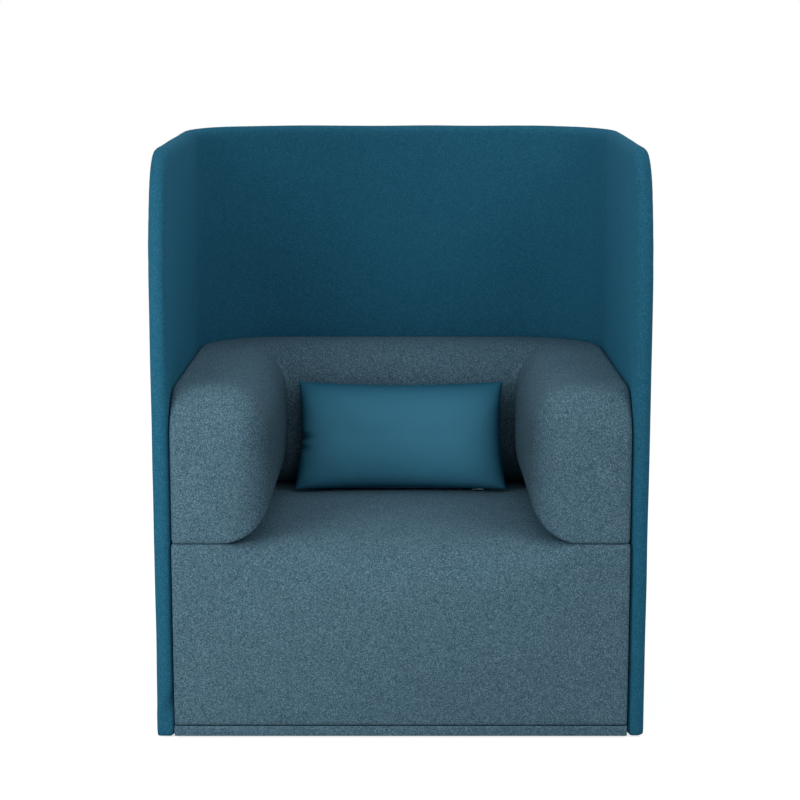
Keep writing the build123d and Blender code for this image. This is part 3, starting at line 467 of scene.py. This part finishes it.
def swell(piece, held, pressure, most, voxel=None):
    """Swells a closed piece as cloth under pressure, most where it is free and not where it is held.

    A twin, coarser where a voxel is given, is simulated, and its movement is scaled to the most that
    is allowed and carried over."""
    twin = piece.copy()
    twin.data = piece.data.copy()
    bpy.context.scene.collection.objects.link(twin)
    if voxel:
        remesh(twin, voxel)
    pick(twin)
    points = twin.data.vertices
    start = [point.co.copy() for point in points]
    group = twin.vertex_groups.new(name="held")
    for point in points:
        group.add([point.index], held(point.co, point.normal), "REPLACE")
    cloth = twin.modifiers.new("swell", "CLOTH")
    cloth.settings.vertex_group_mass = group.name
    cloth.settings.use_pressure = True
    cloth.settings.uniform_pressure_force = pressure
    cloth.settings.effector_weights.gravity = 0
    cloth.settings.tension_stiffness = swell_stiffness
    cloth.settings.compression_stiffness = swell_stiffness
    cloth.settings.bending_stiffness = swell_bending
    cloth.point_cache.frame_start = 1
    cloth.point_cache.frame_end = swell_frames
    for number in range(1, swell_frames + 1):
        bpy.context.scene.frame_set(number)
    bpy.ops.object.modifier_apply(modifier=cloth.name)
    bpy.context.scene.frame_set(1)
    moves = [point.co - home for point, home in zip(twin.data.vertices, start)]
    share = min(1, most / max(move.length for move in moves))
    finder = KDTree(len(start))
    for number, home in enumerate(start):
        finder.insert(home, number)
    finder.balance()
    bpy.data.objects.remove(twin)
    for point in piece.data.vertices:
        near = finder.find_n(point.co, carry_points)
        weights = [1 / (gap + carry_least) ** 2 for _, _, gap in near]
        move = sum((moves[number] * weight for (_, number, _), weight in zip(near, weights)), Vector())
        point.co = point.co + move * (share / sum(weights))


seat_block = block("seat_block", seat_low, (seat_high.x, seat_high.y, seat_front_height))
round_edges(seat_block, rear_upright, strip_corner, strip_corner_steps)
remesh(seat_block, seat_voxel)
for point in seat_block.data.vertices:
    x, y, z = point.co
    top = seat_top(x, y)
    z = seat_low.z + (z - seat_low.z) * (top - seat_low.z) / (seat_front_height - seat_low.z)
    share = min(abs(x) / seat_zone, 1)
    radius = seat_edge + (seat_roll - seat_edge) * (1 - share**seat_roll_power)
    inward = y - seat_low.y
    down = top - z
    if max(inward, down) < radius:
        depth = max(min(inward, down), 0)
        angle = math.pi / 4 * (1 - (down - inward) / radius)
        y = seat_low.y + radius - (radius - depth) * math.cos(angle)
        z = top - radius + (radius - depth) * math.sin(angle)
    point.co = (x, y, z + seat_seam_gap)


def seat_held(place, normal):
    """1 where the seat cover is sewn, tucked or under the arms and the back, 0 where it is free."""
    beside = abs(place.x) > seat_high.x - seat_side_hold
    tucked = place.y > seat_tuck_from or place.z < seat_low.z + seat_hem_hold
    under_arm = abs(place.x) > seat_arm_from and place.z > seat_top(place.x, place.y) - seat_arm_hold
    return 1.0 if beside or tucked or under_arm else 0.0


swell(seat_block, seat_held, pressure=4, most=0.006, voxel=0.016)
apply_modifier(seat_block, "SMOOTH", factor=0.5, iterations=3)
pick(seat_block)
bpy.ops.object.shade_smooth()
seat_block.data.materials.append(melange_cloth)
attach(seat_block, "chair")
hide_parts("seat_cover", "seat_foam", "seat_topper", "front_pad")

# Arms and back: one foam bolster round three sides of the seat, in melange cloth with a sewn mitre
# at each inner corner. It stands on the seat block with a tight seam under it and fits into the
# screen. Its inner, top and front edges are rolled, and its inner faces, out of the light, carry painted
# shade.
arm_low, arm_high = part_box("arm_cover_right")
back_low, back_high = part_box("back_cover")
bolster_low = 0.360
bolster_top = 0.652
bolster_slope = math.tan(math.radians(1.6))
bolster_roll = 0.088
bolster_roll_steps = 16
bolster_outer_edge = 0.012
bolster_outer_steps = 4
bolster_outer_from = 0.1
bolster_outer_band = 0.01
bolster_voxel = 0.006
bolster_hold = 0.006
bolster_under = -0.6
mitre_offset = arm_low.x - back_low.y
mitre_half = 0.010
mitre_depth = 0.0025
mitre_clear = Vector((0.02, 0, 0))
unfaded_power = 4
hair = 0.001

bolster_corner = Vector((-arm_high.x, arm_low.y, bolster_low))
arm_back_bolster = block("arm_back_bolster", bolster_corner, (arm_high.x, back_high.y, bolster_top))
round_edges(arm_back_bolster, rear_upright, strip_corner, strip_corner_steps)
well_low = (-arm_low.x, arm_low.y - cut_past, bolster_low - cut_past)
well = block("well", well_low, (arm_low.x, back_low.y, bolster_top + cut_past))
combine(arm_back_bolster, well, "DIFFERENCE")


def rolled(edge):
    """True for the bolster's edges along the seat well, at the top and the bottom, and at the front."""
    a, b = (vert.co for vert in edge.verts)
    middle = (a + b) / 2
    level = abs(a.z - b.z) < hair
    inside = abs(middle.x) < arm_low.x + hair
    if abs(middle.y - arm_low.y) < hair:
        return middle.z > bolster_top - hair if level else inside
    well_side = abs(abs(middle.x) - arm_low.x) < hair or abs(middle.y - back_low.y) < hair
    return well_side and level and inside


round_edges(arm_back_bolster, rolled, bolster_roll, bolster_roll_steps)


def outer(edge):
    """True for the sharp edges at the screen's side of the bolster, but not under it."""
    a, b = (vert.co for vert in edge.verts)
    beside = abs((a.x + b.x) / 2) > arm_low.x + bolster_outer_from
    behind = (a.y + b.y) / 2 > back_low.y + bolster_outer_from
    above_foot = max(a.z, b.z) > bolster_low + bolster_outer_band
    at_top = min(a.z, b.z) > bolster_top - bolster_outer_band
    return sharp(edge) and (beside and above_foot or behind and at_top)


round_edges(arm_back_bolster, outer, bolster_outer_edge, bolster_outer_steps)
remesh(arm_back_bolster, bolster_voxel)
for point in arm_back_bolster.data.vertices:
    x, y, z = point.co
    share = (z - bolster_low) / (bolster_top - bolster_low)
    low = seat_front_height - seat_rake * (y - seat_low.y) + seat_seam_gap
    high = bolster_top - bolster_slope * (y - seat_low.y)
    point.co = (x, y, low + (high - low) * share)


def bolster_held(place, normal):
    """1 where the bolster touches the screen or the seat or is sewn at a mitre, 0 where it is free."""
    beside = abs(place.x) > arm_high.x - bolster_hold or place.y > back_high.y - bolster_hold
    under = normal.z < bolster_under
    mitre = abs(abs(place.x) - place.y - mitre_offset) < bolster_hold
    return 1.0 if beside or under or mitre else 0.0


swell(arm_back_bolster, bolster_held, pressure=4, most=0.006, voxel=0.014)
apply_modifier(arm_back_bolster, "SMOOTH", factor=0.5, iterations=6)
for point in arm_back_bolster.data.vertices:
    off = abs(abs(point.co.x) - point.co.y - mitre_offset) / math.sqrt(2) / mitre_half
    if off < 1 and not bolster_held(point.co + mitre_clear, point.normal):
        point.co = point.co - point.normal * (mitre_depth * (1 - off) ** 2)
# Painted shade: each point is marked by how far its normal faces into the seat well, and the cloth
# darkens there.
painted_shade = []
for point in arm_back_bolster.data.vertices:
    inward = max(-point.normal.x * math.copysign(1, point.co.x), 0)
    painted_shade.append(inward**unfaded_power)
arm_back_bolster.data.attributes.new("painted_shade", "FLOAT", "POINT").data.foreach_set("value", painted_shade)
pick(arm_back_bolster)
bpy.ops.object.shade_smooth()
arm_back_bolster.data.materials.append(melange_cloth)
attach(arm_back_bolster, "chair")
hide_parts("arm_cover_right", "arm_cover_left", "arm_foam_right", "arm_foam_left")
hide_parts("back_cover", "back_foam")

# Lumbar pillow: a smooth petrol case, sewn flat and filled, so that its sides draw in between
# pointed corners. It leans on the back and stands on the seat, with a zip in its bottom seam.
pillow_low, pillow_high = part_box("pillow_cover")
pillow_width = pillow_high.x - pillow_low.x
pillow_height = 0.222
pillow_thickness = 0.104
pillow_lean = math.radians(12)
pillow_taper = 0.018
pillow_side_draw = 0.010
pillow_top_draw = 0.007
pillow_bottom_draw = 0.0048
pillow_seam = 0.004
pillow_seam_hold = 0.6
pillow_step = 0.005
pillow_side_power = 3.4
pillow_level_power = 2.6
pillow_crown_power = 0.6
pucker_depth = 0.0022
pucker_reach = 0.010
pucker_length = 0.024
face_lane, side_lane, level_lane = 7, 3, 5
seam_shade_reach = 0.020
seam_shade_top = 0.6
seam_shade_bottom = 2.5
pinches = ((-0.004, 0.006), (-0.026, 0.004))
pinch_height = 0.007
pinch_reach = 0.018
tiny = 1e-6
zip_low, zip_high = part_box("zip_chain")
zip_middle = (zip_low + zip_high) / 2

bpy.ops.object.select_all(action="DESELECT")
columns = round(pillow_width / pillow_step)
rows = round(pillow_height / pillow_step)
bpy.ops.mesh.primitive_grid_add(x_subdivisions=columns, y_subdivisions=rows, size=2)
lumbar_pillow = bpy.context.object
lumbar_pillow.name = "lumbar_pillow"
bpy.ops.object.mode_set(mode="EDIT")
bpy.ops.mesh.select_all(action="SELECT")
bpy.ops.mesh.extrude_region_move(TRANSFORM_OT_translate={"value": (0, 0, 2)})
bpy.ops.mesh.select_all(action="SELECT")
bpy.ops.mesh.normals_make_consistent(inside=False)
bpy.ops.transform.translate(value=(0, 0, -1))
bpy.ops.object.mode_set(mode="OBJECT")
seam_shades = []
for point in lumbar_pillow.data.vertices:
    u, w, side = point.co
    full = max(1 - abs(u) ** pillow_side_power, 0) * max(1 - abs(w) ** pillow_level_power, 0)
    n = pillow_seam / 2 + (pillow_thickness - pillow_seam) / 2 * full**pillow_crown_power
    x = u * (pillow_width / 2 * (1 - pillow_taper * (w + 1)) - pillow_side_draw * (1 - w * w))
    draw = pillow_top_draw if w > 0 else pillow_bottom_draw
    v = w * (pillow_height / 2 - draw * (1 - u * u))
    to_side = (1 - abs(u)) * pillow_width / 2
    to_level = (1 - abs(w)) * pillow_height / 2
    near = min(to_side, to_level) / pucker_reach
    along_side = noise.noise((face_lane * side, v / pucker_length, side_lane * math.copysign(1, u)))
    along_level = noise.noise((x / pucker_length, face_lane * side, level_lane * math.copysign(1, w)))
    fold = (along_side * to_level + along_level * to_side) / (to_side + to_level + tiny)
    n += pucker_depth * fold * near * math.exp(1 - near)
    for height, depth in pinches:
        off = ((v - height) / pinch_height) ** 2 + (to_side / pinch_reach) ** 2
        share = math.exp(-off) if u < 0 else 0
        n -= min(depth * share, n - pillow_seam / 2)
        x += depth * share
    point.co = (x, v, side * n)
    # Painted shade: each point is marked by its nearness to the seam, most along the bottom, for
    # darkening in the cloth.
    to_seam = min(to_side, to_level * (seam_shade_top if w > 0 else seam_shade_bottom))
    seam_shades.append(math.exp(-to_seam / seam_shade_reach))
lumbar_pillow.data.attributes.new("seam_shade", "FLOAT", "POINT").data.foreach_set("value", seam_shades)


def pillow_held(place, normal):
    """1 along the sewn edge of the case, 0 elsewhere."""
    return 1.0 if abs(place.z) < pillow_seam * pillow_seam_hold else 0.0


swell(lumbar_pillow, pillow_held, pressure=4, most=0.004)
up = Vector((0, math.sin(pillow_lean), math.cos(pillow_lean)))
out = Vector((0, -math.cos(pillow_lean), math.sin(pillow_lean)))
foot = zip_middle - up * pillow_bottom_draw
for point in lumbar_pillow.data.vertices:
    x, v, n = point.co
    point.co = Vector((x, 0, 0)) + foot + up * (v + pillow_height / 2) - out * n
apply_modifier(lumbar_pillow, "SUBSURF", levels=1, render_levels=1)
pick(lumbar_pillow)
bpy.ops.object.shade_smooth()

# Smooth worsted gives the eye an even mid petrol with a very fine weave and a slight lustre. Towards
# the seams the colour is darkened as painted shade, for the shadow that small gathers hold.
worsted_yarn_mm = 1.4
worsted_cloud_mm = 50
smooth_worsted = new_material("smooth_worsted_petrol")
tree = smooth_worsted.node_tree
place = node(tree, "TexCoord").outputs["Object"]
fine = node(tree, "TexNoise", {"Vector": place, "Scale": 1000 / worsted_yarn_mm, "Detail": 2})
tint = node(tree, "ValToRGB", {"Fac": fine.outputs[0]}, [(0.25, "#4B95B3"), (0.75, "#54A0BF")])
cloud = node(tree, "TexNoise", {"Vector": place, "Scale": 1000 / worsted_cloud_mm, "Detail": 2})
shade = node(tree, "MapRange", {"Value": cloud.outputs[0], "To Min": 0.96, "To Max": 1.04})
mixed = node(tree, "VectorMath", {0: tint.outputs[0], "Scale": shade.outputs[0]}, operation="SCALE")
# Painted shade: the cloth is mixed towards a dark petrol by the seam mark.
seam_shade = node(tree, "Attribute", attribute_name="seam_shade")
painted_seam_shade = {"Factor": seam_shade.outputs["Fac"], "A": mixed.outputs[0], "B": linear("#175A75")}
mixed = node(tree, "Mix", painted_seam_shade, data_type="RGBA")
relief = node(tree, "Bump", {"Height": fine.outputs[0], "Strength": 0.15, "Distance": 0.0003})
surface = {"Base Color": mixed.outputs["Result"], "Roughness": 0.75, "Specular IOR Level": 0.15}
surface |= {"Normal": relief.outputs[0]}
shader = node(tree, "BsdfPrincipled", surface)
node(tree, "OutputMaterial", {"Surface": shader.outputs[0]})
lumbar_pillow.data.materials.append(smooth_worsted)
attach(lumbar_pillow, "pillow")
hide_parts("pillow_cover", "pillow_filling")

# Zip: a dyed polyester coil sewn along the pillow's bottom seam, and on it a die-cast slider that is
# lacquered to match.
coil_pitch_mm = 2
lacquer_peel_mm = 0.5

# The coil gives the eye close petrol ribs with a dull shine.
zip_coil = new_material("zip_coil_polyester")
tree = zip_coil.node_tree
place = node(tree, "TexCoord").outputs["Object"]
turns = node(tree, "TexWave", {"Vector": place, "Scale": 1000 / coil_pitch_mm / math.tau})
tint = node(tree, "ValToRGB", {"Fac": turns.outputs["Fac"]}, [(0, "#1A3C4D"), (1, "#2C5A72")])
relief = node(tree, "Bump", {"Height": turns.outputs["Fac"], "Strength": 0.8, "Distance": 0.0006})
surface = {"Base Color": tint.outputs[0], "Roughness": 0.6, "IOR": 1.57, "Normal": relief.outputs[0]}
surface |= {"Specular IOR Level": 0.15}
shader = node(tree, "BsdfPrincipled", surface)
node(tree, "OutputMaterial", {"Surface": shader.outputs[0]})
dress(zip_coil, "zip_chain")

# Lacquer on zinc gives the eye a dull grey-blue with small soft lights on the edges.
slider_lacquer = new_material("zip_slider_lacquered")
tree = slider_lacquer.node_tree
place = node(tree, "TexCoord").outputs["Object"]
peel = node(tree, "TexNoise", {"Vector": place, "Scale": 1000 / lacquer_peel_mm, "Detail": 1})
tint = node(tree, "ValToRGB", {"Fac": peel.outputs[0]}, [(0.3, "#5F808D"), (0.7, "#6B8C99")])
relief = node(tree, "Bump", {"Height": peel.outputs[0], "Strength": 0.15, "Distance": 0.0001})
surface = {"Base Color": tint.outputs[0], "Roughness": 0.5, "IOR": 1.5, "Normal": relief.outputs[0]}
shader = node(tree, "BsdfPrincipled", surface)
node(tree, "OutputMaterial", {"Surface": shader.outputs[0]})
dress(slider_lacquer, "zip_slider")

# Studio: a pale floor that keeps the chair's shadow, a white surround, and five soft lamps: one low on
# the left, one high on each side, one in front and one high at the rear. The camera stands in front
# and looks a little down.
floor_size = 40
floor_glow = 0.76
ambient = 0.35
camera_place = (-0.0014, -4.134, 1.343)
camera_tilt = math.radians(90 - 10.73)
camera_lens = 95.5

bpy.ops.object.select_all(action="DESELECT")
bpy.ops.mesh.primitive_plane_add(size=floor_size)
floor = bpy.context.object
floor.name = "floor"
floor_paint = new_material("floor_paint_white")
tree = floor_paint.node_tree
path = node(tree, "LightPath")
paint = node(tree, "BsdfDiffuse", {"Color": linear("#D8D8D8")})
glow = node(tree, "Emission", {"Color": (1, 1, 1, 1), "Strength": floor_glow})
seen = node(tree, "AddShader", {0: paint.outputs[0], 1: glow.outputs[0]})
choice = {0: path.outputs["Is Camera Ray"], 1: paint.outputs[0], 2: seen.outputs[0]}
either = node(tree, "MixShader", choice)
node(tree, "OutputMaterial", {"Surface": either.outputs[0]})
floor.data.materials.append(floor_paint)

studio = bpy.data.worlds.new("studio")
bpy.context.scene.world = studio
studio.use_nodes = True
tree = studio.node_tree
tree.nodes.clear()
path = node(tree, "LightPath")
rays = {0: path.outputs["Is Camera Ray"], 1: path.outputs["Is Glossy Ray"]}
straight = node(tree, "Math", rays, operation="MAXIMUM")
rays = {0: straight.outputs[0], 1: path.outputs["Is Transmission Ray"]}
shown = node(tree, "Math", rays, operation="MAXIMUM")
level = node(tree, "MapRange", {"Value": shown.outputs[0], "To Min": ambient, "To Max": 1})
surround = node(tree, "Background", {"Color": (1, 1, 1, 1), "Strength": level.outputs[0]})
node(tree, "OutputWorld", {"Surface": surround.outputs[0]})


def lamp(name, place, aim, size, power):
    """A square soft lamp that points at a place."""
    light = bpy.data.lights.new(name, "AREA")
    light.shape = "SQUARE"
    light.size = size
    light.energy = power
    made = bpy.data.objects.new(name, light)
    made.location = place
    made.rotation_euler = (Vector(aim) - Vector(place)).to_track_quat("-Z", "Y").to_euler()
    bpy.context.scene.collection.objects.link(made)


lamp("key_lamp", (-1.1, -1.4, 0.8), (0, 0, 0.5), 0.6, 6.3)
lamp("left_lamp", (-1.5, -1.5, 2.4), (0, 0.1, 0.7), 1.2, 11)
lamp("right_lamp", (1.5, -1.5, 2.4), (0, 0.1, 0.7), 1.2, 12)
lamp("front_lamp", (0.6, -3.0, 1.3), (0, 0, 0.5), 0.8, 4)
lamp("rear_lamp", (0, 0.9, 2.6), (0, 0, 0.6), 1.0, 5.5)

camera_data = bpy.data.cameras.new("camera")
camera_data.lens = camera_lens
camera = bpy.data.objects.new("camera", camera_data)
camera.location = camera_place
camera.rotation_euler = (camera_tilt, 0, 0)
bpy.context.scene.collection.objects.link(camera)
bpy.context.scene.camera = camera
bpy.context.scene.view_settings.view_transform = "Standard"
